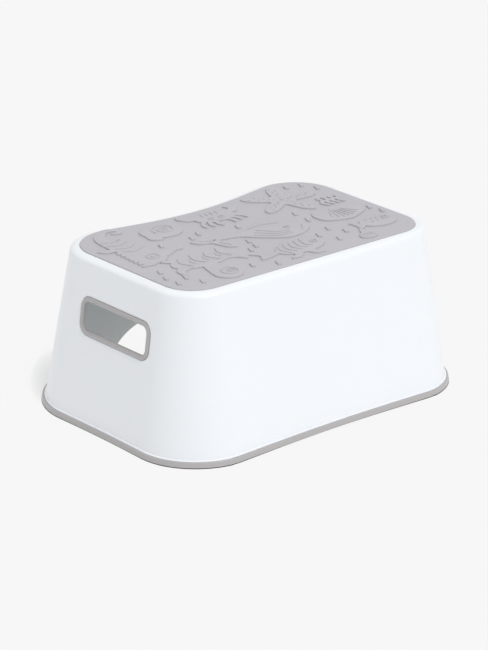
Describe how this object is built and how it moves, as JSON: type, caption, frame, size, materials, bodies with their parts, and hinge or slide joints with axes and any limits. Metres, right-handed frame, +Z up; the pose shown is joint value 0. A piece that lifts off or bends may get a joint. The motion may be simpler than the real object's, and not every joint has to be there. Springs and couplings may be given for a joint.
{
  "type": "step stool",
  "caption": "Child's one-step stool: hollow white moulded shell with sloping walls, a soft grey relief mat on top, a soft rim round the foot and a soft-lined hand slot in each end.",
  "frame": {"origin": "on the floor, at the middle of the footprint's bounding box", "axes": "+X along the long side towards the right end wall, +Y towards the hollowed back, +Z up"},
  "size_m": [0.3798, 0.2838, 0.1675],
  "materials": {
    "white_shell": "satin injection-moulded polypropylene",
    "mat_grey": "matt soft-touch elastomer, finely textured",
    "trim_grey": "satin soft-touch elastomer"
  },
  "bodies": {
    "root": {"body_shell": "white_shell", "step_mat": "mat_grey", "base_rim": "trim_grey", "left_handle_grip": "trim_grey", "right_handle_grip": "trim_grey"}
  },
  "joints": []
}
